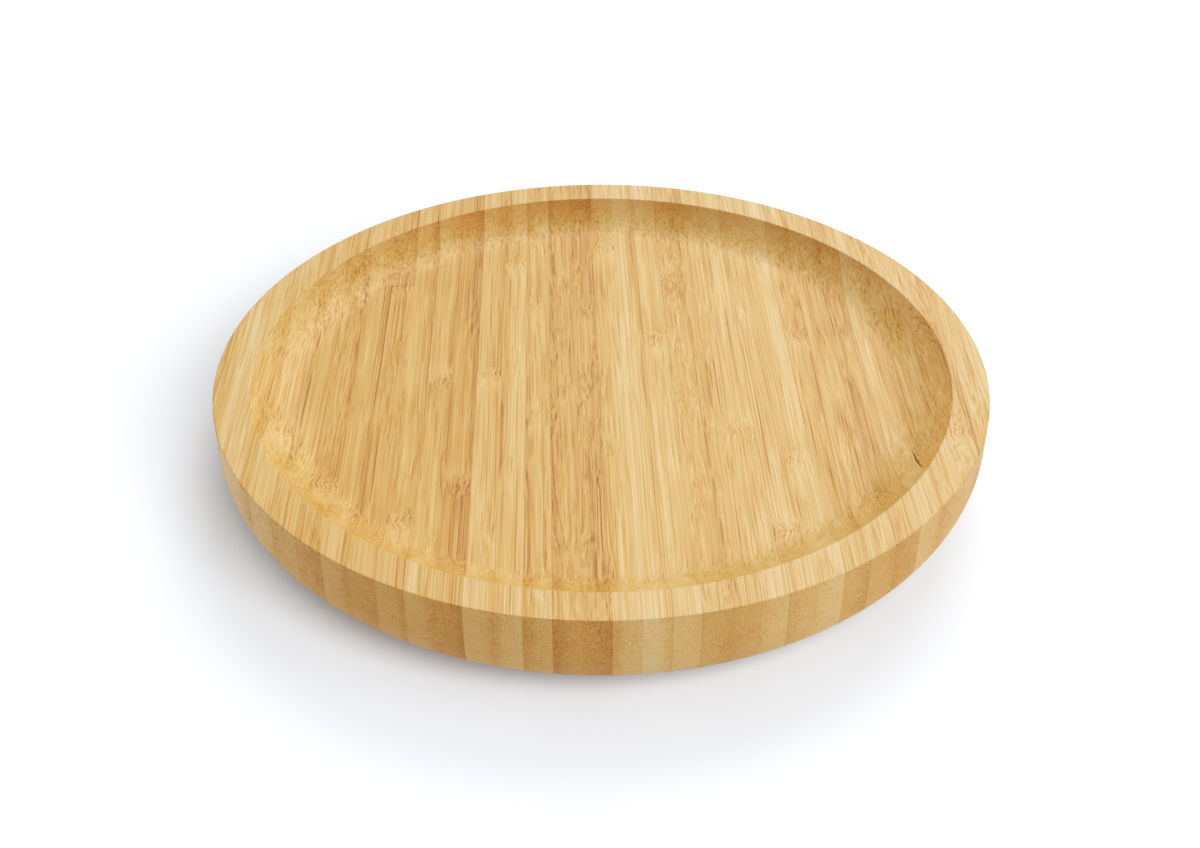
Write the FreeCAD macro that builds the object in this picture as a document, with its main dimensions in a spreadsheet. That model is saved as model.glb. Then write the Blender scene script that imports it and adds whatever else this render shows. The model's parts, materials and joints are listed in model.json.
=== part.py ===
"""Bamboo lazy susan: a dished round tray that turns on a ball bearing plate over a round base.

The origin is on the resting surface, on the turning axis. +Z is up, and the tray's laminated
strips run along Y. Sizes are millimetres. The sheet named Sizes holds the driving dimensions, and
every outline, hole and placement is bound to its cells.

Stack from the surface up: rubber feet, base disc, lower race plate, balls in their cage, upper
race plate, tray. The tray's underside is hollowed, so the bearing and most of the base are hidden.
"""
import FreeCAD, Part
import math
import os
from types import SimpleNamespace

import Sketcher

DRIVING = {
    # tray
    "tray_radius": (100.0, "outside of the tray"),
    "tray_height": (25.0, "rim to underside"),
    "tray_lift": (3.0, "underside above the resting surface"),
    "straight_wall": (9.2, "upright part of the outer wall, above the rounded belly"),
    "rim_width": (9.4, "flat top of the rim"),
    "rim_round": (0.4, "eased edges of the rim"),
    "recess_depth": (6.8, "rim to tray floor"),
    "cove_radius": (18.0, "curve from the floor up to the rim"),
    "pocket_radius": (66.0, "hollow under the tray"),
    # base
    "base_radius": (64.0, "base disc"),
    "base_thickness": (5.0, "base disc"),
    "base_lift": (2.0, "base underside above the resting surface"),
    "base_round": (0.8, "eased edges of the base disc"),
    # bearing
    "ball_radius": (2.0, "bearing ball"),
    "ball_circle": (40.0, "radius that the ball centres run on"),
    "ball_count": (12, "balls in the ring"),
    "race_clearance": (0.1, "ball to groove"),
    "plate_sheet": (0.9, "sheet thickness of the pressed race plates"),
    "web_gap": (0.7, "ball centre plane to the flat of a race plate"),
    "step_radius": (43.2, "where a race plate steps towards its flange"),
    "lower_plate_radius": (49.0, "lower race plate"),
    "upper_plate_radius": (57.0, "upper race plate"),
    "cage_sheet": (0.8, "thickness of the ball cage"),
    "cage_width": (9.0, "radial width of the ball cage"),
    "cage_play": (0.2, "ball to cage pocket"),
    # centre eyelet
    "eyelet_radius": (4.0, "outside of the barrel"),
    "eyelet_bore": (3.2, "inside of the barrel"),
    "eyelet_head_radius": (7.0, "rolled heads"),
    "eyelet_head": (0.8, "thickness of the rolled heads"),
    "eyelet_play": (0.1, "upper head to upper race plate"),
    "running_play": (0.06, "barrel to upper race plate"),
    # fasteners
    "screw_count": (4, "screws in each ring"),
    "screw_radius": (1.5, "shank of every screw"),
    "screw_play": (0.1, "shank to its clearance hole"),
    "pilot_play": (0.05, "shank to its threaded hole"),
    "pilot_spare": (0.3, "threaded hole past the screw's tip"),
    "screw_head_radius": (2.75, "head of every screw"),
    "head_dome": (4.4, "radius of the dome on the pan heads"),
    "pan_head": (1.5, "height of the tray screws' heads"),
    "foot_screw_head": (1.1, "height of the foot screws' heads"),
    "tray_screw_circle": (53.0, "tray screws, outside the lower race plate"),
    "tray_screw_grip": (5.0, "length of the tray screws in the tray"),
    "base_screw_circle": (46.5, "base screws, in the lower race plate"),
    "base_screw_length": (8.0, "countersunk base screws"),
    "countersink_radius": (3.0, "mouth of the countersinks"),
    "drive_slot": (0.7, "width of a cross recess arm"),
    "drive_reach": (1.5, "length of a cross recess arm"),
    "drive_depth": (0.8, "depth of the cross recess"),
    # feet
    "foot_count": (4, "feet, at the corners of a square"),
    "foot_spacing": (75.0, "foot centre to foot centre along X and Y"),
    "foot_radius": (6.0, "rubber foot"),
    "foot_seat": (1.0, "depth of the seat in the base disc"),
    "foot_play": (0.1, "foot to the wall of its seat"),
    "foot_tread_radius": (5.0, "flat tread on the resting surface"),
    "foot_well_radius": (3.3, "well for the screw head"),
    "foot_well": (1.6, "depth of the well"),
    "foot_screw_grip": (3.2, "length of the foot screws in the base disc"),
}
CUT_MARGIN = 1.0
H_AXIS = -1
V_AXIS = -2
START = 1
END = 2
CENTRE = 3


class Size:
    """A length together with the sheet expression that gives it."""

    def __init__(self, text, value):
        self.text = text
        self.value = value

    def combine(self, sign, other, value):
        return Size("({} {} {})".format(self.text, sign, as_size(other).text), value)

    def __add__(self, other):
        return self.combine("+", other, self.value + as_size(other).value)

    def __sub__(self, other):
        return self.combine("-", other, self.value - as_size(other).value)

    def __mul__(self, other):
        return self.combine("*", other, self.value * as_size(other).value)

    def __truediv__(self, other):
        return self.combine("/", other, self.value / as_size(other).value)

    def __neg__(self):
        return Size("(-1 * {})".format(self.text), -self.value)

    def root(self):
        return Size("sqrt({})".format(self.text), math.sqrt(self.value))


def as_size(thing):
    if isinstance(thing, Size):
        return thing
    return Size(repr(thing), thing)


ZERO = Size("0", 0.0)


def leg(longest, other):
    """The third side of a right triangle, from its longest side and one other."""
    return (longest * longest - other * other).root()


class Bend:
    """Marks a corner whose next stretch is an arc; a left bend turns anticlockwise."""

    def __init__(self, radius, left):
        self.radius = radius
        self.left = left


def fill_sheet(doc):
    """Write the driving dimensions to the sheet, and return each as a Size."""
    sheet = doc.addObject("Spreadsheet::Sheet", "Sizes")
    sizes = {}
    for row, (alias, (number, note)) in enumerate(DRIVING.items(), start=1):
        sheet.set("A{}".format(row), alias)
        sheet.set("B{}".format(row), str(number))
        sheet.set("C{}".format(row), note)
        sheet.setAlias("B{}".format(row), alias)
        sizes[alias] = Size("Sizes." + alias, number)
    doc.recompute()
    return SimpleNamespace(**sizes)


def new_body(doc, label):
    body = doc.addObject("PartDesign::Body", label)
    body.Label = label
    return body


def origin_part(body, role):
    """One of the body's own origin planes or axes."""
    return next(part for part in body.Origin.OriginFeatures if part.Role == role)


def sketch_on(body, name, role, offset_name=None, offset=ZERO):
    """A sketch on one of the body's origin planes, moved along x (across it) or z (off it)."""
    sketch = body.newObject("Sketcher::SketchObject", name)
    sketch.AttachmentSupport = [(origin_part(body, role), "")]
    sketch.MapMode = "FlatFace"
    if offset_name:
        sketch.setExpression("AttachmentOffset.Base." + offset_name, offset.text)
    return sketch


def pin_point(sketch, curve, point, across, up):
    """Hold a point of a curve at its two distances from the sketch's origin."""
    for kind, axis, distance in (("DistanceX", V_AXIS, across), ("DistanceY", H_AXIS, up)):
        if distance is ZERO:
            sketch.addConstraint(Sketcher.Constraint("PointOnObject", curve, point, axis))
        else:
            limit = Sketcher.Constraint(kind, H_AXIS, START, curve, point, distance.value)
            number = sketch.addConstraint(limit)
            sketch.setExpression("Constraints[{}]".format(number), distance.text)


def set_radius(sketch, curve, radius):
    number = sketch.addConstraint(Sketcher.Constraint("Radius", curve, radius.value))
    sketch.setExpression("Constraints[{}]".format(number), radius.text)


def short_arc(start, end, bend):
    """The arc of less than half a circle from start to end."""
    chord = end - start
    middle = (start + end) * 0.5
    side = FreeCAD.Vector(-chord.y, chord.x, 0).normalize()
    if not bend.left:
        side = side * -1
    radius = bend.radius.value
    centre = middle + side * math.sqrt(radius ** 2 - (chord.Length / 2) ** 2)
    return Part.Arc(start, centre - side * radius, end)


def draw_outline(sketch, corners):
    """A closed outline. A corner is (across, up), with a Bend added if an arc leaves it."""
    spots = [FreeCAD.Vector(corner[0].value, corner[1].value, 0) for corner in corners]
    ends = []
    for number, corner in enumerate(corners):
        start = spots[number]
        end = spots[(number + 1) % len(spots)]
        if len(corner) == 3:
            curve = sketch.addGeometry(short_arc(start, end, corner[2]), False)
            ends.append((START, END) if corner[2].left else (END, START))
            set_radius(sketch, curve, corner[2].radius)
        else:
            curve = sketch.addGeometry(Part.LineSegment(start, end), False)
            ends.append((START, END))
        pin_point(sketch, curve, ends[number][0], corner[0], corner[1])
    for number in range(len(corners)):
        following = (number + 1) % len(corners)
        meeting = Sketcher.Constraint("Coincident", number, ends[number][1],
                                      following, ends[following][0])
        sketch.addConstraint(meeting)


def draw_circle(sketch, across, up, radius):
    centre = FreeCAD.Vector(across.value, up.value, 0)
    circle = Part.Circle(centre, FreeCAD.Vector(0, 0, 1), radius.value)
    curve = sketch.addGeometry(circle, False)
    pin_point(sketch, curve, CENTRE, across, up)
    set_radius(sketch, curve, radius)


def turn(body, name, corners, kind="PartDesign::Revolution", off_axis=None):
    """Revolve an outline about the body's Z axis, or about a line parallel to it at x = off_axis."""
    if off_axis:
        sketch = sketch_on(body, name + "Outline", "XZ_Plane", "x", off_axis)
    else:
        sketch = sketch_on(body, name + "Outline", "XZ_Plane")
    draw_outline(sketch, corners)
    feature = body.newObject(kind, name)
    feature.Profile = sketch
    feature.ReferenceAxis = (sketch, ["V_Axis"])
    feature.Angle = 360
    return feature


def cut_up(body, name, sketch, depth):
    """Pocket a sketch that lies on a level plane, upwards from it."""
    pocket = body.newObject("PartDesign::Pocket", name)
    pocket.Profile = sketch
    pocket.Reversed = True
    pocket.setExpression("Length", depth.text)
    return pocket


def drill_up(body, name, place, radius, level, depth):
    """A round hole from a level upwards, at place = (x, y)."""
    sketch = sketch_on(body, name + "Circle", "XY_Plane", "z", level)
    draw_circle(sketch, place[0], place[1], radius)
    return cut_up(body, name, sketch, depth)


def ring_of(body, name, features, count):
    """Repeat features evenly about the body's Z axis."""
    pattern = body.newObject("PartDesign::PolarPattern", name)
    pattern.Originals = features
    pattern.Axis = (origin_part(body, "Z_Axis"), [""])
    pattern.Angle = 360
    pattern.setExpression("Occurrences", count.text)
    body.Tip = pattern
    return pattern


def round_rings(doc, body, name, rings, radius):
    """Fillet the circular edges of the body's tip that have the given radii and heights."""
    doc.recompute()
    tip = body.Tip
    names = []
    for number, edge in enumerate(tip.Shape.Edges, start=1):
        if not isinstance(edge.Curve, Part.Circle):
            continue
        for ring_radius, height in rings:
            same_radius = abs(edge.Curve.Radius - ring_radius.value) < 1e-4
            same_height = abs(edge.Curve.Center.z - height.value) < 1e-4
            if same_radius and same_height:
                names.append("Edge{}".format(number))
    if len(names) != len(rings):
        raise RuntimeError("{}: {} of {} edges found".format(name, len(names), len(rings)))
    fillet = body.newObject("PartDesign::Fillet", name)
    fillet.Base = (tip, names)
    fillet.setExpression("Radius", radius.text)
    return fillet


def work_out_levels(s):
    """Heights and reaches that follow from the driving dimensions."""
    s.tray_top = s.tray_lift + s.tray_height
    s.tray_floor = s.tray_top - s.recess_depth
    s.cove_foot = s.tray_radius - s.rim_width - leg(s.cove_radius, s.cove_radius - s.recess_depth)
    s.base_top = s.base_lift + s.base_thickness
    s.groove_radius = s.ball_radius + s.race_clearance
    s.bead_radius = s.groove_radius + s.plate_sheet
    s.ball_level = s.base_top + s.bead_radius
    s.pocket_top = s.ball_level + s.bead_radius
    s.foot_offset = s.foot_spacing / 2
    s.foot_height = s.base_lift + s.foot_seat
    return s


def make_tray(doc, s):
    """Dished tray, hollowed below, with pilot holes for the upper race plate's screws."""
    body = new_body(doc, "tray")
    rim_inside = s.tray_radius - s.rim_width
    belly = s.tray_height - s.straight_wall
    turn(body, "TrayForm", [
        (ZERO, s.pocket_top),
        (s.pocket_radius, s.pocket_top),
        (s.pocket_radius, s.tray_lift),
        (s.tray_radius - belly, s.tray_lift, Bend(belly, left=True)),
        (s.tray_radius, s.tray_lift + belly),
        (s.tray_radius, s.tray_top),
        (rim_inside, s.tray_top, Bend(s.cove_radius, left=False)),
        (s.cove_foot, s.tray_floor),
        (ZERO, s.tray_floor),
    ])
    rim_edges = [(s.tray_radius, s.tray_top), (rim_inside, s.tray_top)]
    round_rings(doc, body, "RimRounds", rim_edges, s.rim_round)
    round_rings(doc, body, "PocketRound", [(s.pocket_radius, s.tray_lift)], s.rim_round)
    pilot = drill_up(body, "PilotHole", (s.tray_screw_circle, ZERO),
                     s.screw_radius + s.pilot_play, s.pocket_top, s.tray_screw_grip + s.pilot_spare)
    ring_of(body, "PilotHoles", [pilot], s.screw_count)
    return body


def make_base_disc(doc, s):
    """Round board with countersunk holes for its screws, and a seat and pilot for each foot."""
    body = new_body(doc, "base_disc")
    turn(body, "DiscForm", [
        (ZERO, s.base_lift),
        (s.base_radius, s.base_lift),
        (s.base_radius, s.base_top),
        (ZERO, s.base_top),
    ])
    rims = [(s.base_radius, s.base_lift), (s.base_radius, s.base_top)]
    round_rings(doc, body, "DiscRounds", rims, s.base_round)
    hole = s.screw_radius + s.screw_play
    countersink_end = s.base_lift + s.countersink_radius - hole
    countersunk = turn(body, "ScrewHole", [
        (ZERO, s.base_lift - CUT_MARGIN),
        (s.countersink_radius, s.base_lift - CUT_MARGIN),
        (s.countersink_radius, s.base_lift),
        (hole, countersink_end),
        (hole, s.base_top + CUT_MARGIN),
        (ZERO, s.base_top + CUT_MARGIN),
    ], kind="PartDesign::Groove", off_axis=s.base_screw_circle)
    ring_of(body, "ScrewHoles", [countersunk], s.screw_count)
    foot_place = (s.foot_offset, s.foot_offset)
    seat = drill_up(body, "FootSeat", foot_place, s.foot_radius + s.foot_play,
                    s.base_lift, s.foot_seat)
    ring_of(body, "FootSeats", [seat], s.foot_count)
    pilot = drill_up(body, "FootPilot", foot_place, s.screw_radius + s.pilot_play,
                     s.foot_height, s.foot_screw_grip + s.pilot_spare)
    ring_of(body, "FootPilots", [pilot], s.foot_count)
    return body


def make_race(doc, s, label, plate_radius, bore, screw_circle, hole, upper):
    """Pressed steel plate: a beaded ball groove, flat webs, and a flange for its screws.

    The lower plate opens upwards. The upper plate is the same section turned over.
    """
    body = new_body(doc, label)

    def level(offset):
        if upper:
            return s.ball_level + offset
        return s.ball_level - offset

    web_far = s.web_gap + s.plate_sheet
    groove_half = leg(s.groove_radius, s.web_gap)
    bead_half = leg(s.bead_radius, web_far)
    step_outside = s.step_radius + s.plate_sheet
    turn(body, "PlateForm", [
        (bore, level(web_far)),
        (s.ball_circle - bead_half, level(web_far), Bend(s.bead_radius, left=not upper)),
        (s.ball_circle + bead_half, level(web_far)),
        (s.step_radius, level(web_far)),
        (s.step_radius, level(s.bead_radius)),
        (plate_radius, level(s.bead_radius)),
        (plate_radius, level(s.groove_radius)),
        (step_outside, level(s.groove_radius)),
        (step_outside, level(s.web_gap)),
        (s.ball_circle + groove_half, level(s.web_gap), Bend(s.groove_radius, left=upper)),
        (s.ball_circle - groove_half, level(s.web_gap)),
        (bore, level(s.web_gap)),
    ])
    start = level(s.groove_radius) if upper else level(s.bead_radius)
    screw_hole = drill_up(body, "FlangeHole", (screw_circle, ZERO), hole,
                          start - CUT_MARGIN, s.plate_sheet + 2 * CUT_MARGIN)
    ring_of(body, "FlangeHoles", [screw_hole], s.screw_count)
    return body


def make_cage(doc, s):
    """Flat plastic ring with a round pocket for each ball."""
    body = new_body(doc, "ball_cage")
    inside = s.ball_circle - s.cage_width / 2
    outside = s.ball_circle + s.cage_width / 2
    bottom = s.ball_level - s.cage_sheet / 2
    top = s.ball_level + s.cage_sheet / 2
    turn(body, "RingForm", [(inside, bottom), (outside, bottom), (outside, top), (inside, top)])
    pocket = drill_up(body, "BallPocket", (s.ball_circle, ZERO), s.ball_radius + s.cage_play,
                      bottom - CUT_MARGIN, s.cage_sheet + 2 * CUT_MARGIN)
    ring_of(body, "BallPockets", [pocket], s.ball_count)
    return body


def make_balls(doc, s):
    """Steel balls, evenly spaced round the groove."""
    balls = []
    count = s.ball_count.value
    for number in range(count):
        ball = doc.addObject("Part::Sphere", "ball_{:02d}".format(number + 1))
        ball.setExpression("Radius", s.ball_radius.text)
        angle = "{} * 360 deg / {}".format(number, s.ball_count.text)
        ball.setExpression("Placement.Base.x", "{} * cos({})".format(s.ball_circle.text, angle))
        ball.setExpression("Placement.Base.y", "{} * sin({})".format(s.ball_circle.text, angle))
        ball.setExpression("Placement.Base.z", s.ball_level.text)
        balls.append(ball)
    return balls


def make_eyelet(doc, s):
    """Hollow rivet that holds the two race plates together; the upper plate turns on it."""
    body = new_body(doc, "centre_eyelet")
    web_far = s.web_gap + s.plate_sheet
    lower_head = s.ball_level - web_far
    upper_head = s.ball_level + web_far + s.eyelet_play
    roll = s.eyelet_head / 2
    turn(body, "EyeletForm", [
        (s.eyelet_bore, lower_head - s.eyelet_head),
        (s.eyelet_head_radius - roll, lower_head - s.eyelet_head, Bend(roll, left=True)),
        (s.eyelet_head_radius, lower_head - roll, Bend(roll, left=True)),
        (s.eyelet_head_radius - roll, lower_head),
        (s.eyelet_radius, lower_head),
        (s.eyelet_radius, upper_head),
        (s.eyelet_head_radius - roll, upper_head, Bend(roll, left=True)),
        (s.eyelet_head_radius, upper_head + roll, Bend(roll, left=True)),
        (s.eyelet_head_radius - roll, upper_head + s.eyelet_head),
        (s.eyelet_bore, upper_head + s.eyelet_head),
    ])
    return body


def add_drive(body, s, circle, level):
    """Cross recess in a screw head that faces down, as one outline round both slots."""
    half = s.drive_slot / 2
    reach = s.drive_reach
    sketch = sketch_on(body, "DriveOutline", "XY_Plane", "z", level)
    draw_outline(sketch, [
        (circle - reach, -half),
        (circle - half, -half),
        (circle - half, -reach),
        (circle + half, -reach),
        (circle + half, -half),
        (circle + reach, -half),
        (circle + reach, half),
        (circle + half, half),
        (circle + half, reach),
        (circle - half, reach),
        (circle - half, half),
        (circle - reach, half),
    ])
    return cut_up(body, "DriveRecess", sketch, s.drive_depth)


def make_pan_screws(doc, s, label, circle, head_level, head_height, grip_end):
    """A ring of pan head screws, heads down, from the underside of a flange or foot well."""
    body = new_body(doc, label)
    body.AllowCompound = True
    head_face = head_level - head_height
    shoulder = head_face + s.head_dome - leg(s.head_dome, s.screw_head_radius)
    screw = turn(body, "ScrewForm", [
        (ZERO, head_face, Bend(s.head_dome, left=True)),
        (s.screw_head_radius, shoulder),
        (s.screw_head_radius, head_level),
        (s.screw_radius, head_level),
        (s.screw_radius, grip_end - s.screw_radius),
        (ZERO, grip_end),
    ], off_axis=circle)
    return body, screw, head_face


def make_tray_screws(doc, s):
    flange_face = s.pocket_top - s.plate_sheet
    body, screw, face = make_pan_screws(doc, s, "tray_screws", s.tray_screw_circle, flange_face,
                                        s.pan_head, s.pocket_top + s.tray_screw_grip)
    drive = add_drive(body, s, s.tray_screw_circle, face)
    ring_of(body, "ScrewRing", [screw, drive], s.screw_count)
    return body


def make_foot_screws(doc, s):
    """The foot screws stand on the feet's diagonals, so their ring is turned by 45 degrees."""
    circle = s.foot_offset * as_size(2).root()
    body, screw, face = make_pan_screws(doc, s, "foot_screws", circle, s.foot_well,
                                        s.foot_screw_head, s.foot_height + s.foot_screw_grip)
    drive = add_drive(body, s, circle, face)
    ring_of(body, "ScrewRing", [screw, drive], s.foot_count)
    body.Placement.Rotation = FreeCAD.Rotation(FreeCAD.Vector(0, 0, 1), 45)
    return body


def make_base_screws(doc, s):
    """Countersunk machine screws, up through the base disc into the lower race plate."""
    body = new_body(doc, "base_screws")
    body.AllowCompound = True
    face = s.base_lift + s.countersink_radius - s.screw_head_radius
    tip = face + s.base_screw_length
    screw = turn(body, "ScrewForm", [
        (ZERO, face),
        (s.screw_head_radius, face),
        (s.screw_radius, face + s.screw_head_radius - s.screw_radius),
        (s.screw_radius, tip - s.screw_radius / 2),
        (s.screw_radius / 2, tip),
        (ZERO, tip),
    ], off_axis=s.base_screw_circle)
    drive = add_drive(body, s, s.base_screw_circle, face)
    ring_of(body, "ScrewRing", [screw, drive], s.screw_count)
    return body


def make_feet(doc, s):
    """Four rubber feet, each seated in the base disc, with a well for its screw."""
    feet = []
    edge = s.foot_radius - s.foot_tread_radius
    corners = ((1, 1), (-1, 1), (-1, -1), (1, -1))
    for number, (east, north) in enumerate(corners, start=1):
        body = new_body(doc, "foot_{}".format(number))
        turn(body, "FootForm", [
            (s.foot_well_radius, ZERO),
            (s.foot_tread_radius, ZERO, Bend(edge, left=True)),
            (s.foot_radius, edge),
            (s.foot_radius, s.foot_height),
            (s.screw_radius + s.screw_play, s.foot_height),
            (s.screw_radius + s.screw_play, s.foot_well),
            (s.foot_well_radius, s.foot_well),
        ])
        body.setExpression("Placement.Base.x", "{} * {}".format(east, s.foot_offset.text))
        body.setExpression("Placement.Base.y", "{} * {}".format(north, s.foot_offset.text))
        feet.append(body)
    return feet


def check_document(doc, pieces):
    """Stop if any object failed, any cut removed nothing, or any piece isn't a sound solid."""
    for item in doc.Objects:
        if "Invalid" in item.State or "Error" in item.State:
            raise RuntimeError("{} ({}) did not build".format(item.Name, item.Label))
        if item.TypeId in ("PartDesign::Pocket", "PartDesign::Groove"):
            if not item.Shape.Volume < item.BaseFeature.Shape.Volume - 1e-6:
                raise RuntimeError("{} cut nothing".format(item.Name))
    for piece in pieces:
        shape = piece.Shape
        if shape.isNull() or not shape.isValid() or not shape.Solids:
            raise RuntimeError("{} is not a valid solid".format(piece.Label))


def main():
    doc = FreeCAD.newDocument("LazySusan")
    s = work_out_levels(fill_sheet(doc))
    lower_race = make_race(doc, s, "lower_race", s.lower_plate_radius, s.eyelet_radius,
                           s.base_screw_circle, s.screw_radius + s.pilot_play, upper=False)
    upper_race = make_race(doc, s, "upper_race", s.upper_plate_radius,
                           s.eyelet_radius + s.running_play,
                           s.tray_screw_circle, s.screw_radius + s.screw_play, upper=True)
    pieces = [make_tray(doc, s), make_base_disc(doc, s), lower_race, upper_race]
    pieces += [make_cage(doc, s), make_eyelet(doc, s)]
    pieces += [make_tray_screws(doc, s), make_base_screws(doc, s), make_foot_screws(doc, s)]
    pieces += make_balls(doc, s) + make_feet(doc, s)
    doc.recompute()
    check_document(doc, pieces)
    os.makedirs("parts", exist_ok=True)
    for piece in pieces:
        piece.Shape.exportStep("parts/{}.step".format(piece.Label))
        print("{:14s} solids {:2d}  volume {:10.1f} mm3".format(
            piece.Label, len(piece.Shape.Solids), piece.Shape.Volume))


main()
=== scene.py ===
"""Looks of the bamboo lazy susan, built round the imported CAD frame.

The tray and the base disc are edge-glued bamboo: strips that run along Y, side by side across X.
The bamboo material is a solid texture. Its fibre bundles are tubes along Y, so the same nodes give
long streaks on the faces that run with the grain and dots on the end grain of the walls.
"""
import json
import math

import bmesh
import bpy
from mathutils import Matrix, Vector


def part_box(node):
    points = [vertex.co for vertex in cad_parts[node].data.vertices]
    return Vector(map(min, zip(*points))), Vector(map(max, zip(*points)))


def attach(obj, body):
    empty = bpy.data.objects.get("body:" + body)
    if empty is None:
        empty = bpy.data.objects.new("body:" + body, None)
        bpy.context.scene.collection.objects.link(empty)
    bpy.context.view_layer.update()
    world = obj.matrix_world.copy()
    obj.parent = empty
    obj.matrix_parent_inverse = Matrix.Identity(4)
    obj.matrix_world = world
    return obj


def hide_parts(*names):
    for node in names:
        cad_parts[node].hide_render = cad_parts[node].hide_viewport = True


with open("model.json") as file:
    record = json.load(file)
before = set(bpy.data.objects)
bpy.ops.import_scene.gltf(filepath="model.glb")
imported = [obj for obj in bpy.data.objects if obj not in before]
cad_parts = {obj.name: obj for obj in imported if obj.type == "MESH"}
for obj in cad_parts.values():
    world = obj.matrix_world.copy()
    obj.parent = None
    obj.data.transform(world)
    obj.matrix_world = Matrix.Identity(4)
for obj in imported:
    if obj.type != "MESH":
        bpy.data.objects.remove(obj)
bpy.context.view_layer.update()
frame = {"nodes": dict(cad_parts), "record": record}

MM = 0.001

# ---- sizes of the tray, as in the CAD part (metres) ----
# POCKET_TOP is the ceiling of the hollow underneath, which lies on the bearing's upper plate.
RIM_WIDTH = 9.4 * MM
RIM_ROUND = 0.4 * MM
COVE_RADIUS = 18.0 * MM
STRAIGHT_WALL = 9.2 * MM
POCKET_RADIUS = 66.0 * MM
TRAY_LOW, TRAY_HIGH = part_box("tray")
TRAY_RADIUS = TRAY_HIGH.x
TRAY_TOP = TRAY_HIGH.z
TRAY_UNDER = TRAY_LOW.z
TRAY_FLOOR = next(m["pos_m"][2] for m in frame["record"]["mounts"] if m["name"] == "tray_floor")
POCKET_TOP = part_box("upper_race")[1].z

# ---- the boards; a strip's number and each seed give it three random numbers ----
STRIP_PITCH = 6.47 * MM
STRIP_START = -0.5 * MM
STRIP_SEEDS = (0.37, 57.13)
STRIP_TRAITS = ("tone", "streaks", "knot", "knot_y")
LATHE_SEGMENTS = 480

# ---- the split in the cove; a face whose tone is CRACK_TONE is painted dark, as painted shade inside the slit ----
CRACK_X = 76.1 * MM
CRACK_FAR = -33.0 * MM
CRACK_NEAR = -47.0 * MM
CRACK_WIDTH = 0.36 * MM
CRACK_WANDER = 0.04 * MM
CRACK_DEPTH = 0.9 * MM
CRACK_SKIN = 0.02 * MM
CRACK_STEPS = 24
CRACK_TONE = 2.0

# ---- the camera: lens and sensor in millimetres, places in metres, angles in degrees ----
CAMERA_LENS = 49.5
SENSOR_WIDTH = 36
CAMERA_BACK = 0.3605
CAMERA_SIDE = -0.0003
CAMERA_ABOVE_RIM = 0.2385
CAMERA_TURN = -1.7
CAMERA_DOWN = 35.65

# ---- the studio ----
FLOOR_HALF = 3.0
FLOOR_COLOR = (0.50, 0.512, 0.53, 1.0)
ROOM_COLOR = (1.03, 1.0, 0.94, 1.0)
ROOM_STRENGTH = 0.58
BACKDROP_COLOR = (1.0, 1.0, 1.0, 1.0)


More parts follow.
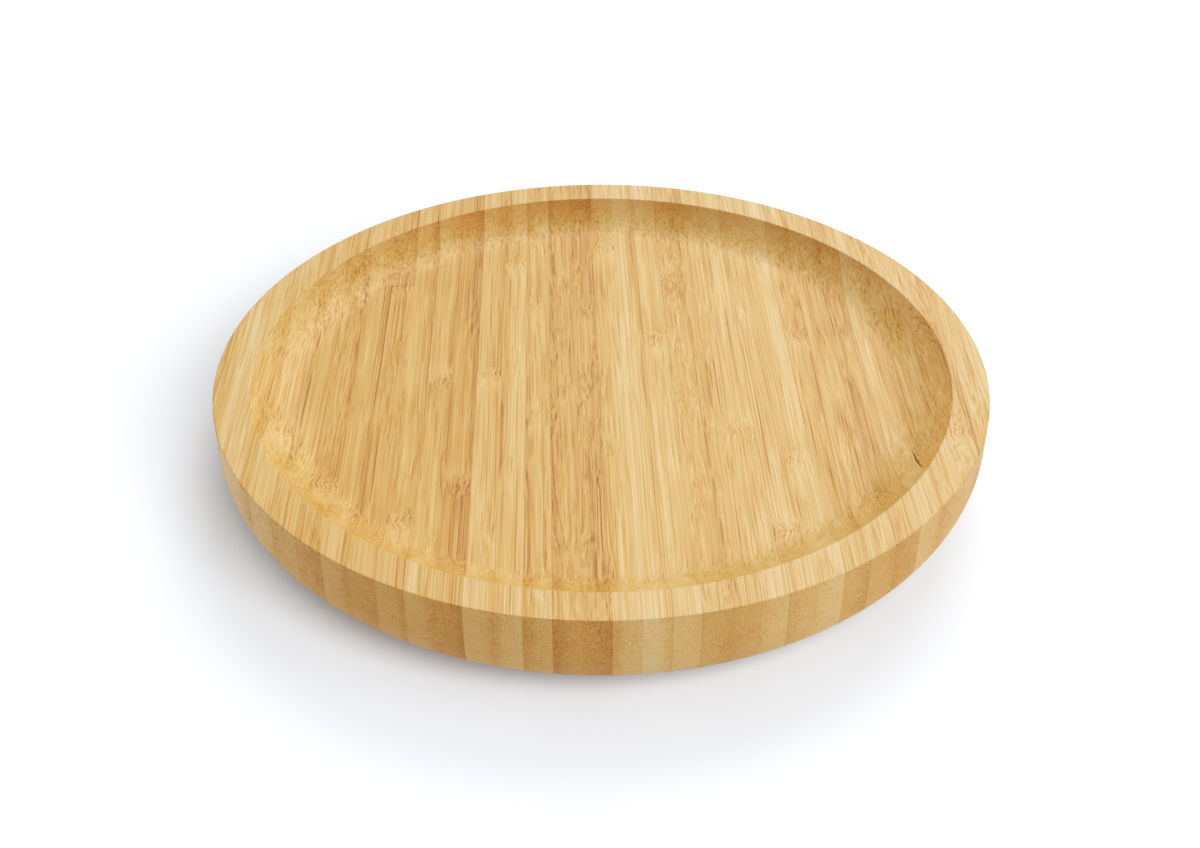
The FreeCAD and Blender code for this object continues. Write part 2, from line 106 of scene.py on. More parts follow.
# ---------------------------------------------------------------- shader graph helper
class Graph:
    """Builds a material's nodes from short calls; a call takes sockets or plain numbers."""

    def __init__(self, name):
        self.material = bpy.data.materials.new(name)
        self.material.use_nodes = True
        self.tree = self.material.node_tree
        self.tree.nodes.clear()

    def node(self, kind, **settings):
        """A new node with its settings."""
        made = self.tree.nodes.new(kind)
        for key, value in settings.items():
            setattr(made, key, value)
        return made

    def feed(self, socket, value):
        """Links a socket to an input, or sets a plain value on it."""
        if isinstance(value, bpy.types.NodeSocket):
            self.tree.links.new(value, socket)
        else:
            socket.default_value = value

    def math(self, operation, first, second=0.0):
        made = self.node("ShaderNodeMath", operation=operation)
        for socket, value in zip(made.inputs, (first, second)):
            self.feed(socket, value)
        return made.outputs[0]

    def add(self, first, second):
        return self.math("ADD", first, second)

    def sub(self, first, second):
        return self.math("SUBTRACT", first, second)

    def mul(self, first, second):
        return self.math("MULTIPLY", first, second)

    def fit(self, value, low, high, out_low=0.0, out_high=1.0, smooth=True):
        """Maps low..high to out_low..out_high, held at the ends."""
        kind = "SMOOTHSTEP" if smooth else "LINEAR"
        made = self.node("ShaderNodeMapRange", interpolation_type=kind)
        for socket, number in zip(made.inputs[:5], (value, low, high, out_low, out_high)):
            self.feed(socket, number)
        return made.outputs[0]

    def vector(self, x=0.0, y=0.0, z=0.0):
        made = self.node("ShaderNodeCombineXYZ")
        for socket, value in zip(made.inputs, (x, y, z)):
            self.feed(socket, value)
        return made.outputs[0]

    def split(self, vector):
        """The three parts of a vector or colour."""
        made = self.node("ShaderNodeSeparateXYZ")
        self.feed(made.inputs[0], vector)
        return made.outputs

    def scaled(self, vector, scale):
        made = self.node("ShaderNodeVectorMath", operation="MULTIPLY")
        self.feed(made.inputs[0], vector)
        self.feed(made.inputs[1], scale)
        return made.outputs[0]

    def moved(self, vector, offset):
        made = self.node("ShaderNodeVectorMath", operation="ADD")
        self.feed(made.inputs[0], vector)
        self.feed(made.inputs[1], offset)
        return made.outputs[0]

    def noise(self, vector, detail=2.0, roughness=0.5):
        """Noise at a point that is scaled already."""
        made = self.node("ShaderNodeTexNoise")
        self.feed(made.inputs["Vector"], vector)
        made.inputs["Scale"].default_value = 1.0
        made.inputs["Detail"].default_value = detail
        made.inputs["Roughness"].default_value = roughness
        return made

    def random(self, seed):
        """Three random numbers for a seed."""
        made = self.node("ShaderNodeTexWhiteNoise", noise_dimensions="1D")
        self.feed(made.inputs["W"], seed)
        return self.split(made.outputs["Color"])

    def attribute(self, name):
        """A number that the mesh's faces carry."""
        return self.node("ShaderNodeAttribute", attribute_name=name).outputs["Fac"]

    def mix(self, share, first, second, blend="MIX"):
        """Blends two colours; share 0 gives the first."""
        made = self.node("ShaderNodeMix", data_type="RGBA", blend_type=blend)
        self.feed(made.inputs["Factor"], share)
        self.feed(made.inputs[6], first)
        self.feed(made.inputs[7], second)
        return made.outputs[2]

    def ramp(self, value, stops):
        """A colour for a number; stops are (number, colour) in rising order."""
        made = self.node("ShaderNodeValToRGB")
        points = made.color_ramp.elements
        while len(points) < len(stops):
            points.new(0.5)
        for point, (number, color) in zip(points, stops):
            point.position = number
            point.color = color
        self.feed(made.inputs[0], value)
        return made.outputs[0]

    def bump(self, height, strength, distance):
        made = self.node("ShaderNodeBump")
        made.inputs["Strength"].default_value = strength
        made.inputs["Distance"].default_value = distance
        self.feed(made.inputs["Height"], height)
        return made.outputs[0]

    def finish(self, color, roughness, normal=None, **fixed):
        """The surface shader; fixed numbers go straight on its sockets."""
        shader = self.node("ShaderNodeBsdfPrincipled")
        self.feed(shader.inputs["Base Color"], color)
        self.feed(shader.inputs["Roughness"], roughness)
        if normal:
            self.feed(shader.inputs["Normal"], normal)
        for key, value in fixed.items():
            shader.inputs[key.replace("_", " ")].default_value = value
        output = self.node("ShaderNodeOutputMaterial")
        self.tree.links.new(shader.outputs[0], output.inputs["Surface"])
        return self.material


def linear(red, green, blue):
    """Display colour, 0 to 255, as the linear colour that a shader takes."""
    def one(value):
        share = value / 255
        return share / 12.92 if share <= 0.04045 else ((share + 0.055) / 1.055) ** 2.4
    return (one(red), one(green), one(blue), 1.0)


def in_millimetres(g):
    """The point on the piece, in its own frame."""
    coords = g.node("ShaderNodeTexCoord")
    return g.scaled(coords.outputs["Object"], (1 / MM, 1 / MM, 1 / MM))


# ---------------------------------------------------------------- bamboo
# Bamboo's colours lie on one line, from pale pith to burnt fibre, by how dense the fibre is.
BAMBOO_TONES = (
    (0.00, linear(218, 192, 152)),
    (0.18, linear(212, 184, 132)),
    (0.38, linear(207, 172, 106)),
    (0.60, linear(199, 155, 77)),
    (0.76, linear(189, 139, 55)),
    (0.90, linear(178, 121, 42)),
    (1.00, linear(158, 98, 32)),
)
# painted shade for the faces inside the split
CRACK_SHADE = linear(150, 84, 34)
GLUE = linear(150, 96, 44)
# Tints, multiplied into the wood's colour.
END_TINT_PALE = linear(255, 252, 250)
END_TINT_DARK = linear(250, 240, 232)
# painted warm bounce light in the recess
RECESS_BOUNCE_TINT = (1.0, 0.985, 0.88, 1.0)
# painted shade on the back and right coves
COVE_SHADE_TINT = (1.07, 0.98, 0.91, 1.0)


def bell(g, value, width):
    """1 where value is 0, falling smoothly to 0 at about twice the width."""
    share = g.mul(value, 1 / width)
    return g.math("EXPONENT", g.mul(g.mul(share, share), -1.0))


def centred(g, value, size):
    """A 0 to 1 noise turned to swing about 0, by about a quarter of the size each way."""
    return g.mul(g.sub(value, 0.5), size)


def bundles(g, x, z, spacing, inner, outer):
    """Vascular bundles: dark tubes along Y, some stronger than others."""
    cells = g.node("ShaderNodeTexVoronoi", voronoi_dimensions="2D", feature="F1")
    g.feed(cells.inputs["Vector"], g.vector(x, z, 0.0))
    cells.inputs["Scale"].default_value = 1 / spacing
    cells.inputs["Randomness"].default_value = 0.9
    tube = g.fit(cells.outputs["Distance"], outer, inner)
    strength = g.split(cells.outputs["Color"])[0]
    return g.mul(tube, g.fit(strength, 0.1, 1.0, 0.15, 1.0, smooth=False))


def fibre_noise(g, x, y, z, across_scale, along_scale, detail):
    """Noise drawn out along the fibres."""
    place = g.vector(g.mul(x, across_scale), g.mul(y, along_scale), g.mul(z, across_scale))
    return g.noise(place, detail=detail, roughness=0.6).outputs["Fac"]


def bamboo(name, own_strips):
    """Edge-glued bamboo. own_strips reads the board's strip attributes; without it they are random."""
    g = Graph(name)
    point = in_millimetres(g)
    x, y, z = g.split(point)
    normal_x, normal_y, normal_z = g.split(g.node("ShaderNodeTexCoord").outputs["Normal"])
    end_grain = g.fit(g.math("ABSOLUTE", normal_y), 0.28, 0.85)
    # end grain is darker on every slope; on slopes that face -Y it is darker still, as painted shade,
    # and on slopes that face +Y its marks are calmer and paler, as painted light
    end_grain_shade = g.mul(end_grain, g.fit(normal_y, -0.2, 0.2, 1.0, 0.3))
    lit_calm = g.fit(normal_y, 0.06, 0.50, 1.0, 0.3)

    along = g.math("DIVIDE", g.sub(x, STRIP_START / MM), STRIP_PITCH / MM)
    strip = g.math("FLOOR", along)
    across = g.math("FRACT", along)
    r_one, r_two, r_three = g.random(g.add(strip, STRIP_SEEDS[0]))
    r_four, r_five, r_six = g.random(g.add(strip, STRIP_SEEDS[1]))
    if own_strips:
        tone, streaks, knot, knot_y = (g.attribute(key) for key in STRIP_TRAITS)
    else:
        tone = r_four
        streaks = g.mul(r_five, 0.7)
        knot = g.math("GREATER_THAN", r_two, 0.45)
        knot_y = g.fit(r_six, 0, 1, -60, 60, smooth=False)

    # 1 in the recess: inside the rim, and no deeper than the tray's floor
    radius = g.math("SQRT", g.add(g.mul(x, x), g.mul(y, y)))
    rim_inside = (TRAY_RADIUS - RIM_WIDTH) / MM
    floor_height = TRAY_FLOOR / MM
    above_floor = g.fit(z, floor_height - 2, floor_height - 1)
    recess = g.mul(g.fit(radius, rim_inside, rim_inside - 0.4), above_floor)
    # painted light: outside the recess the tone is a tenth paler, so the rim reads lighter than the
    # recess
    tone = g.mul(tone, g.fit(recess, 0.0, 1.0, 0.9, 1.0))

    # every strip is cut from its own culm: move the texture by strip
    strip_move = g.vector(g.mul(r_one, 500), g.mul(r_two, 900), g.mul(r_three, 700))
    grain_point = g.moved(point, strip_move)
    gx, gy, gz = g.split(grain_point)

    # fibres drift a little as they run, more in the streaky strips, and bulge aside at a knot
    to_knot = g.sub(y, knot_y)
    near_knot = g.mul(knot, bell(g, to_knot, width=3.4))
    lean = g.mul(g.sub(r_five, 0.5), g.add(0.012, g.mul(g.mul(streaks, streaks), 0.10)))
    drift = g.noise(g.scaled(grain_point, (0.10, 0.014, 0.10)), detail=1.5)
    drift_x, drift_z, _ = g.split(drift.outputs["Color"])
    ripple = g.noise(g.scaled(grain_point, (0.30, 0.20, 0.3)), detail=0.0)
    ripple_x, ripple_z, _ = g.split(ripple.outputs["Color"])
    side = g.sub(g.mul(g.math("GREATER_THAN", r_one, 0.5), 2.0), 1.0)
    bulge = g.mul(near_knot, g.add(g.mul(side, 0.7), centred(g, ripple_x, 3.0)))
    calm = g.fit(end_grain, 0.0, 1.0, 1.0, 0.35)
    depth_drift = g.mul(centred(g, drift_z, 3.0), g.add(1.0, g.mul(g.mul(streaks, streaks), 7.0)))
    depth_drift = g.mul(depth_drift, calm)
    fibre_x = g.add(g.add(gx, g.mul(y, lean)), g.add(centred(g, drift_x, 0.8), bulge))
    fibre_z = g.add(g.add(gz, depth_drift), g.mul(near_knot, centred(g, ripple_z, 5.0)))

    # v runs from the soft inner side of the culm wall (0) to its dense outer side (1)
    flip = g.math("GREATER_THAN", r_three, 0.5)
    shifted = g.add(across, g.mul(g.sub(fibre_x, gx), 0.5 * MM / STRIP_PITCH))
    v = g.math("ABSOLUTE", g.sub(shifted, flip))

    coarse = bundles(g, fibre_x, fibre_z, spacing=0.86, inner=0.06, outer=0.32)
    fine = bundles(g, fibre_x, fibre_z, spacing=0.48, inner=0.08, outer=0.40)
    coarse = g.mul(coarse, g.fit(v, 0.0, 0.5, 0.5, 1.0))
    bundle = g.math("MAXIMUM", coarse, g.mul(fine, g.fit(v, 0.1, 0.9)))
    fibre = fibre_noise(g, fibre_x, gy, fibre_z, across_scale=2.6, along_scale=0.03, detail=2.0)
    thread = fibre_noise(g, fibre_x, gy, fibre_z, across_scale=2.0, along_scale=0.008, detail=1.0)
    band = fibre_noise(g, fibre_x, gy, fibre_z, across_scale=0.5, along_scale=0.006, detail=1.0)
    cloud = g.noise(g.scaled(grain_point, (0.12, 0.03, 0.12)), detail=2.0).outputs["Fac"]

    # how dense the wood is: by strip, towards the outer side, along each fibre, and round the knots
    flush = g.mul(g.mul(knot, bell(g, g.sub(to_knot, g.mul(side, 6.0)), width=8.0)), 0.08)
    pale = g.mul(g.mul(knot, bell(g, g.add(to_knot, g.mul(side, 5.0)), width=4.0)), -0.10)
    stroke = g.math("SINE", g.add(g.mul(fibre_x, 5.6), centred(g, ripple_z, 5.0)))
    node_line = g.mul(knot, bell(g, g.add(to_knot, centred(g, ripple_x, 3.0)), width=0.8))
    bundle_share = g.mul(g.add(0.30, g.mul(streaks, 0.08)), g.fit(cloud, 0.3, 0.7, 0.7, 1.25))
    # painted light: fewer bundles show on slopes that face +Y
    bundle_share = g.mul(bundle_share, lit_calm)
    density = g.fit(tone, 0.0, 1.0, 0.24, 0.62, smooth=False)
    for share in (
        g.mul(g.fit(v, 0.5, 1.02), g.fit(r_six, 0.0, 1.0, 0.02, 0.20, smooth=False)),
        g.mul(centred(g, band, 0.50), calm),
        centred(g, cloud, 0.10),
        g.mul(centred(g, fibre, 0.66), lit_calm),
        g.mul(g.mul(g.fit(thread, 0.54, 0.66), 0.20), g.mul(calm, lit_calm)),
        g.mul(g.mul(g.fit(thread, 0.44, 0.34), -0.14), calm),
        g.mul(bundle, bundle_share),
        flush,
        pale,
        # painted light: every surface below the rim's top is a little denser, so the rim's top reads
        # lighter
        g.fit(z, (TRAY_TOP - RIM_ROUND) / MM, TRAY_TOP / MM, 0.05, 0.0),
        g.mul(g.mul(stroke, near_knot), g.mul(lit_calm, 0.12)),
        g.mul(g.mul(node_line, g.fit(stroke, -0.8, 0.6)), 0.12),
        # painted shade: end grain that faces -Y is denser, more so in the dark strips
        g.mul(end_grain_shade, g.fit(tone, 0.0, 0.9, 0.0, 0.12, smooth=False)),
    ):
        density = g.add(density, share)
    color = g.ramp(density, BAMBOO_TONES)

    # end grain is warmer, least of all in the pale strips, and most on slopes that face -Y, as painted
    # shade
    end_color = g.mix(g.fit(tone, 0.0, 0.4, smooth=False), END_TINT_PALE, END_TINT_DARK)
    color = g.mix(end_grain_shade, color, end_color, blend="MULTIPLY")

    # painted bounce light: the recess is tinted warmer than the rim
    color = g.mix(recess, color, RECESS_BOUNCE_TINT, blend="MULTIPLY")
    # painted shade: the steep back and right coves, which face away from the key lamp, are drawn darker
    # and more orange
    cove_shade = g.mul(recess, g.fit(normal_z, 0.98, 0.70))
    cove_shade = g.mul(cove_shade, g.fit(g.add(normal_y, g.mul(normal_x, 0.8)), 0.0, -0.4))
    color = g.mix(cove_shade, color, COVE_SHADE_TINT, blend="MULTIPLY")

    # painted shade inside the split: its faces alone have a tone past 1
    color = g.mix(g.fit(tone, 1.2, 1.6), color, CRACK_SHADE)

    # glue lines
    edge = g.math("MINIMUM", across, g.sub(1.0, across))
    glue = g.mul(g.fit(edge, 0.0, 0.02, 1.0, 0.0), g.fit(r_four, 0.2, 0.9, 0.1, 0.5))
    color = g.mix(glue, color, GLUE)

    height = g.sub(g.mul(fibre, 0.6), g.mul(bundle, 0.8))
    normal = g.bump(height, strength=0.35, distance=0.08 * MM)
    rough = g.add(g.fit(fibre, 0.3, 0.7, 0.42, 0.52), g.mul(end_grain, 0.12))
    return g.finish(color, rough, normal, Specular_IOR_Level=0.35)


# ---------------------------------------------------------------- metal, plastic and rubber
def zinc_steel(name, color, roughness, spangle):
    """Zinc-plated steel: cloudy plating, fine rolling marks, small pits."""
    g = Graph(name)
    point = in_millimetres(g)
    cloud = g.noise(g.scaled(point, (0.25, 0.25, 0.25)), detail=4.0, roughness=0.6).outputs["Fac"]
    marks = g.noise(g.scaled(point, (0.6, 9.0, 3.0)), detail=3.0).outputs["Fac"]
    cells = g.node("ShaderNodeTexVoronoi", feature="F1")
    g.feed(cells.inputs["Vector"], g.scaled(point, (0.9, 0.9, 0.9)))
    grain = g.split(cells.outputs["Color"])[0]
    worn = g.fit(g.add(cloud, centred(g, grain, spangle)), 0.3, 0.75)
    dark = tuple(share * 0.72 for share in color) + (1.0,)
    light = tuple(min(1.0, share * 1.12) for share in color) + (1.0,)
    shade = g.mix(worn, dark, light)
    rough = g.add(g.fit(marks, 0.3, 0.7, roughness - 0.06, roughness + 0.08), centred(g, cloud, 0.25))
    normal = g.bump(g.add(g.mul(marks, 0.6), g.mul(cloud, 0.4)), strength=0.25, distance=0.04 * MM)
    return g.finish(shade, rough, normal, Metallic=1.0)


def bearing_steel(name):
    """Polished balls with faint swirl marks."""
    g = Graph(name)
    point = in_millimetres(g)
    swirl = g.noise(g.scaled(point, (2.0, 2.0, 7.0)), detail=4.0).outputs["Fac"]
    shade = g.mix(g.fit(swirl, 0.3, 0.7), (0.70, 0.70, 0.71, 1.0), (0.84, 0.84, 0.85, 1.0))
    return g.finish(shade, g.fit(swirl, 0.3, 0.7, 0.08, 0.18), Metallic=1.0)


def nylon(name):
    """Natural nylon with a light mould texture and a little grease."""
    g = Graph(name)
    point = in_millimetres(g)
    cloud = g.noise(g.scaled(point, (0.4, 0.4, 0.4)), detail=3.0).outputs["Fac"]
    grain = g.noise(g.scaled(point, (9.0, 9.0, 9.0)), detail=2.0).outputs["Fac"]
    shade = g.mix(g.fit(cloud, 0.3, 0.7), linear(225, 221, 206), linear(240, 238, 229))
    normal = g.bump(grain, strength=0.3, distance=0.03 * MM)
    return g.finish(shade, g.fit(cloud, 0.3, 0.7, 0.32, 0.55), normal)


def rubber(name):
    """Dark moulded rubber: fine grain, and a dusty bloom where it is scuffed."""
    g = Graph(name)
    point = in_millimetres(g)
    grain = g.noise(g.scaled(point, (6.0, 6.0, 6.0)), detail=4.0, roughness=0.65).outputs["Fac"]
    bloom = g.noise(g.scaled(point, (0.5, 0.5, 0.5)), detail=5.0, roughness=0.65).outputs["Fac"]
    shade = g.mix(g.fit(bloom, 0.45, 0.75), linear(44, 44, 46), linear(78, 77, 75))
    shade = g.mix(g.fit(grain, 0.55, 0.75, 0.0, 0.3), shade, linear(92, 90, 88))
    normal = g.bump(grain, strength=0.5, distance=0.08 * MM)
    return g.finish(shade, g.fit(bloom, 0.3, 0.7, 0.62, 0.82), normal, Specular_IOR_Level=0.35)


# ---------------------------------------------------------------- boards
# Strip number from -X to +X: tone from about 0 (pale) to 1 (dark), streaks from 0 (calm) to 1 (strong),
# and the knot's place along Y in millimetres, or None for a strip without one.
STRIPS = {
    -16: (0.75, 0.5, None),
    -15: (0.08, 0.2, 38),
    -14: (0.24, 0.3, None),
    -13: (0.30, 0.3, -21),
    -12: (0.50, 0.3, None),
    -11: (0.74, 0.4, -43),
    -10: (0.45, 0.3, None),
    -9: (0.70, 0.4, 52),
    -8: (0.52, 0.4, -56),
    -7: (0.45, 0.3, 3),
    -6: (0.84, 0.3, -43),
    -5: (0.30, 0.3, 5),
    -4: (0.27, 0.4, 64),
    -3: (0.42, 0.6, None),
    -2: (0.72, 0.7, None),
    -1: (0.85, 0.9, None),
    0: (0.22, 0.4, 72),
    1: (-0.06, 0.1, None),
    2: (0.16, 0.3, 21),
    3: (0.50, 0.9, 55),
    4: (0.47, 0.6, None),
    5: (0.20, 0.2, -22),
    6: (0.30, 0.3, -63),
    7: (0.08, 0.2, -36),
    8: (0.46, 0.3, 22),
    9: (0.48, 0.3, None),
    10: (0.70, 0.5, None),
    11: (0.20, 0.3, None),
    12: (0.46, 0.6, 30),
    13: (0.42, 0.9, -34),
    14: (0.50, 0.9, None),
    15: (0.15, 0.2, None),
}


def arc_points(centre, radius, start, end, steps):
    """Points (r, z) on an arc, from start to end in degrees."""
    points = []
    for step in range(steps + 1):
        angle = math.radians(start + (end - start) * step / steps)
        points.append((centre[0] + radius * math.cos(angle), centre[1] + radius * math.sin(angle)))
    return points


def even_points(start, end, steps):
    """Points between two ends, the ends left out."""
    return [(start[0] + (end[0] - start[0]) * n / steps, start[1] + (end[1] - start[1]) * n / steps)
            for n in range(1, steps)]


def cove_centre():
    """Centre of the cove's arc, which stands over the foot of the cove: (radius, height)."""
    depth = TRAY_TOP - TRAY_FLOOR
    run = math.sqrt(COVE_RADIUS ** 2 - (COVE_RADIUS - depth) ** 2)
    return TRAY_RADIUS - RIM_WIDTH - run, TRAY_FLOOR + COVE_RADIUS


def tray_profile():
    """The tray's section, from the middle of its floor over the rim to the middle of its underside."""
    cove = cove_centre()
    foot = cove[0]
    ease_z = TRAY_TOP - RIM_ROUND
    ease = (foot + math.sqrt((COVE_RADIUS + RIM_ROUND) ** 2 - (ease_z - cove[1]) ** 2), ease_z)
    ease_angle = math.degrees(math.atan2(ease[1] - cove[1], ease[0] - cove[0]))
    belly = TRAY_TOP - TRAY_UNDER - STRAIGHT_WALL
    points = even_points((0, TRAY_FLOOR), (foot, TRAY_FLOOR), steps=6)
    points += arc_points(cove, COVE_RADIUS, -90, ease_angle, steps=22)
    points += arc_points(ease, RIM_ROUND, 180 + ease_angle, 90, steps=5)
    points += even_points((ease[0], TRAY_TOP), (TRAY_RADIUS - RIM_ROUND, TRAY_TOP), steps=3)
    points += arc_points((TRAY_RADIUS - RIM_ROUND, ease_z), RIM_ROUND, 90, 0, steps=5)
    points += even_points((TRAY_RADIUS, ease_z), (TRAY_RADIUS, TRAY_UNDER + belly), steps=3)
    points += arc_points((TRAY_RADIUS - belly, TRAY_UNDER + belly), belly, 0, -90, steps=20)
    pocket_edge = (POCKET_RADIUS + RIM_ROUND, TRAY_UNDER + RIM_ROUND)
    points += arc_points(pocket_edge, RIM_ROUND, -90, -180, steps=4)
    points += [(POCKET_RADIUS, POCKET_TOP)]
    points += even_points((POCKET_RADIUS, POCKET_TOP), (0, POCKET_TOP), steps=4)
    return points


def lathe(points, top_middle, under_middle):
    """Turns a section into a mesh about Z, closed by a point in the middle of its top and underside."""
    mesh = bmesh.new()
    rings = []
    for radius, height in points:
        ring = []
        for step in range(LATHE_SEGMENTS):
            angle = 2 * math.pi * step / LATHE_SEGMENTS
            ring.append(mesh.verts.new((radius * math.cos(angle), radius * math.sin(angle), height)))
        rings.append(ring)
    first = mesh.verts.new((0, 0, top_middle))
    last = mesh.verts.new((0, 0, under_middle))
    for step in range(LATHE_SEGMENTS):
        after = (step + 1) % LATHE_SEGMENTS
        mesh.faces.new((first, rings[0][step], rings[0][after]))
        for inner, outer in zip(rings, rings[1:]):
            mesh.faces.new((inner[step], outer[step], outer[after], inner[after]))
        mesh.faces.new((last, rings[-1][after], rings[-1][step]))
    return mesh


def strip_number(x):
    """The strip that a place across the board lies in."""
    return math.floor((x - STRIP_START) / STRIP_PITCH)


def cut_into_strips(mesh):
    """Gives the board an edge along every glue line, and each face the numbers of its strip."""
    low = strip_number(-TRAY_RADIUS)
    high = strip_number(TRAY_RADIUS)
    for number in range(low + 1, high + 1):
        place = STRIP_START + number * STRIP_PITCH
        parts = mesh.verts[:] + mesh.edges[:] + mesh.faces[:]
        bmesh.ops.bisect_plane(mesh, geom=parts, dist=1e-7, plane_co=(place, 0, 0), plane_no=(1, 0, 0))
    layers = [mesh.faces.layers.float.new(key) for key in STRIP_TRAITS]
    for face in mesh.faces:
        tone, streaks, knot_y = STRIPS[strip_number(face.calc_center_bounds().x)]
        knot = 0.0 if knot_y is None else 1.0
        for layer, value in zip(layers, (tone, streaks, knot, knot_y or 0.0)):
            face[layer] = value


def bare_object(name, mesh):
    """An object made of a bmesh, which is freed."""
    data = bpy.data.meshes.new(name)
    mesh.to_mesh(data)
    mesh.free()
    thing = bpy.data.objects.new(name, data)
    bpy.context.scene.collection.objects.link(thing)
    return thing


def cove_height(x, y):
    """Height of the cove's surface over a point, where the cove is."""
    foot, centre_z = cove_centre()
    return centre_z - math.sqrt(COVE_RADIUS ** 2 - (math.hypot(x, y) - foot) ** 2)


def crack_blade():
    """A closed wedge along the split, its sharp edge down, slimmer towards both ends."""
    mesh = bmesh.new()
    rings = []
    for step in range(1, CRACK_STEPS):
        share = step / CRACK_STEPS
        swell = math.sin(math.pi * share) ** 0.7
        y = CRACK_FAR + (CRACK_NEAR - CRACK_FAR) * share
        x = CRACK_X + CRACK_WANDER * (math.sin(9 * share) + 0.5 * math.sin(23 * share))
        top = cove_height(x, y)
        reach = CRACK_WIDTH * swell
        above = top + CRACK_DEPTH
        corners = ((x - reach, above), (x + reach, above), (x, top - CRACK_DEPTH * swell))
        rings.append([mesh.verts.new((corner_x, y, corner_z)) for corner_x, corner_z in corners])
    for ring, after in zip(rings, rings[1:]):
        for corner in range(3):
            following = (corner + 1) % 3
            mesh.faces.new((ring[corner], ring[following], after[following], after[corner]))
    mesh.faces.new(rings[0][::-1])
    mesh.faces.new(rings[-1])
    bmesh.ops.recalc_face_normals(mesh, faces=mesh.faces[:])
    return mesh


def cut_crack(mesh):
    """Takes the split's wedge out of the board."""
    board = bare_object("board_blank", mesh)
    blade = bare_object("crack_blade", crack_blade())
    cut = board.modifiers.new("crack", "BOOLEAN")
    cut.operation = "DIFFERENCE"
    cut.solver = "EXACT"
    cut.object = blade
    evaluated = board.evaluated_get(bpy.context.evaluated_depsgraph_get())
    result = bmesh.new()
    result.from_mesh(evaluated.to_mesh())
    evaluated.to_mesh_clear()
    for thing in (board, blade):
        data = thing.data
        bpy.data.objects.remove(thing)
        bpy.data.meshes.remove(data)
    return result


def darken_crack(mesh):
    """Gives the faces inside the split the tone that paints them dark, as painted shade."""
    tone = mesh.faces.layers.float["tone"]
    for face in mesh.faces:
        centre = face.calc_center_median()
        beside = abs(centre.x - CRACK_X) < 2 * CRACK_WIDTH and CRACK_NEAR < centre.y < CRACK_FAR
        if beside and POCKET_TOP < centre.z < cove_height(centre.x, centre.y) - CRACK_SKIN:
            face[tone] = CRACK_TONE


def make_tray(material):
    """The tray's board, shown in place of its CAD solid."""
    mesh = cut_crack(lathe(tray_profile(), TRAY_FLOOR, POCKET_TOP))
    cut_into_strips(mesh)
    darken_crack(mesh)
    tray = bare_object("tray_board", mesh)
    tray.data.shade_smooth()
    tray.data.materials.append(material)
    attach(tray, "tray")
    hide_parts("tray")
    tray.modifiers.new("even_normals", "WEIGHTED_NORMAL").keep_sharp = True


def finish_cad_nodes():
    """Gives each CAD node that stays its material, by the record's material slots."""
    finishes = {
        "base_bamboo": bamboo("base_bamboo", own_strips=False),
        "pressed_steel": zinc_steel("pressed_steel", (0.62, 0.63, 0.64), 0.36, 0.25),
        "ball_steel": bearing_steel("ball_steel"),
        "cage_nylon": nylon("cage_nylon"),
        "screw_steel": zinc_steel("screw_steel", (0.66, 0.66, 0.66), 0.28, 0.10),
        "foot_rubber": rubber("foot_rubber"),
    }
    for part in frame["record"]["subparts"]:
        if part["material_slot"] in finishes:
            for slot in frame["nodes"][part["node"]].material_slots:
                slot.material = finishes[part["material_slot"]]


# ---------------------------------------------------------------- studio
def add_sun(name, azimuth, elevation, strength, spread, color, only):
    """A soft distant lamp that lights all objects, or one only; azimuth in degrees from +X to +Y."""
    lamp = bpy.data.lights.new(name, "SUN")
    lamp.energy = strength
    lamp.color = color
    lamp.angle = math.radians(spread)
    holder = bpy.data.objects.new(name, lamp)
    bpy.context.scene.collection.objects.link(holder)
    holder.rotation_euler = (math.radians(90 - elevation), 0, math.radians(azimuth + 90))
    if only:
        lit = bpy.data.collections.new(name + "_lit")
        lit.objects.link(only)
        holder.light_linking.receiver_collection = lit


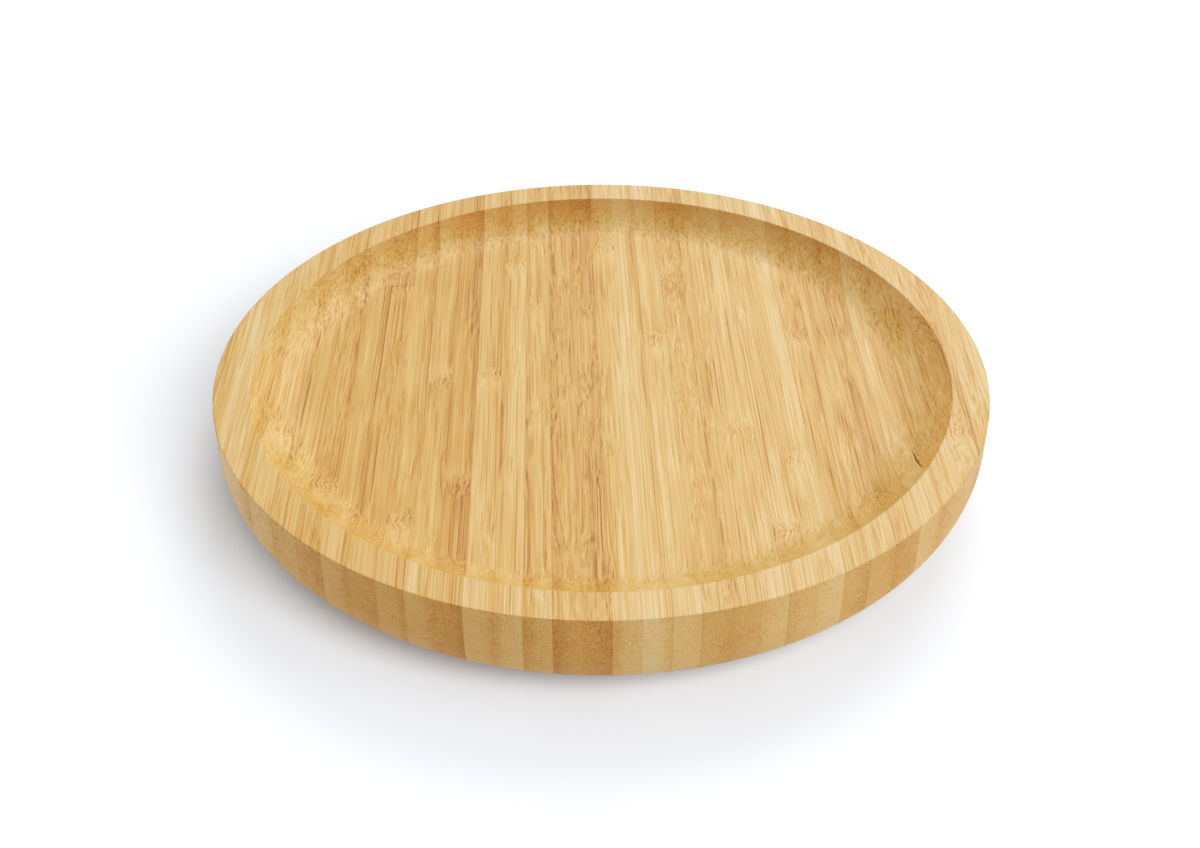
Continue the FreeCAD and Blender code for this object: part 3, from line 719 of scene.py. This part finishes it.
def make_floor():
    """A pale table top that a view from below looks through."""
    mesh = bmesh.new()
    bmesh.ops.create_grid(mesh, x_segments=1, y_segments=1, size=FLOOR_HALF)
    floor = bare_object("studio_floor", mesh)
    g = Graph("studio_floor")
    material = g.finish(FLOOR_COLOR, 0.9, Specular_IOR_Level=0.1)
    output = next(node for node in material.node_tree.nodes if node.type == "OUTPUT_MATERIAL")
    one_sided = g.node("ShaderNodeMixShader")
    g.feed(one_sided.inputs[0], g.node("ShaderNodeNewGeometry").outputs["Backfacing"])
    g.feed(one_sided.inputs[1], output.inputs["Surface"].links[0].from_socket)
    g.feed(one_sided.inputs[2], g.node("ShaderNodeBsdfTransparent").outputs[0])
    g.feed(output.inputs["Surface"], one_sided.outputs[0])
    floor.data.materials.append(material)
    return floor


def make_studio():
    """Light from the whole room, a plain backdrop that only the camera sees, and soft lamps."""
    world = bpy.data.worlds.new("studio")
    bpy.context.scene.world = world
    world.use_nodes = True
    nodes = world.node_tree.nodes
    background = nodes["Background"]
    background.inputs["Color"].default_value = ROOM_COLOR
    background.inputs["Strength"].default_value = ROOM_STRENGTH
    backdrop = nodes.new("ShaderNodeBackground")
    backdrop.inputs["Color"].default_value = BACKDROP_COLOR
    choice = nodes.new("ShaderNodeMixShader")
    links = world.node_tree.links
    links.new(nodes.new("ShaderNodeLightPath").outputs["Is Camera Ray"], choice.inputs[0])
    links.new(background.outputs[0], choice.inputs[1])
    links.new(backdrop.outputs[0], choice.inputs[2])
    links.new(choice.outputs[0], nodes["World Output"].inputs["Surface"])
    for name, azimuth, elevation, strength, spread, color, only in (
        ("key", 72, 45, 1.55, 34, (0.99, 1.0, 1.02), None),
        ("right", -22, 26, 1.3, 44, (0.90, 1.0, 1.15), None),
        ("far_left", 150, 35, 0.36, 44, (0.99, 1.0, 1.02), None),
        ("floor_fill", -64, 38, 5.0, 50, (0.98, 1.0, 1.04), make_floor()),
    ):
        add_sun(name, azimuth, elevation, strength, spread, color, only)


def make_camera():
    """The camera stands in front of the tray and looks down at it."""
    turn = math.radians(CAMERA_TURN)
    data = bpy.data.cameras.new("camera")
    data.sensor_width = SENSOR_WIDTH
    data.lens = CAMERA_LENS
    camera = bpy.data.objects.new("camera", data)
    bpy.context.scene.collection.objects.link(camera)
    camera.location = (CAMERA_SIDE * math.cos(turn) + CAMERA_BACK * math.sin(turn),
                       CAMERA_SIDE * math.sin(turn) - CAMERA_BACK * math.cos(turn),
                       TRAY_TOP + CAMERA_ABOVE_RIM)
    camera.rotation_euler = (math.radians(90 - CAMERA_DOWN), 0, turn)
    bpy.context.scene.camera = camera


bpy.context.scene.view_settings.view_transform = "Standard"
make_tray(bamboo("tray_bamboo", own_strips=True))
finish_cad_nodes()
make_studio()
make_camera()
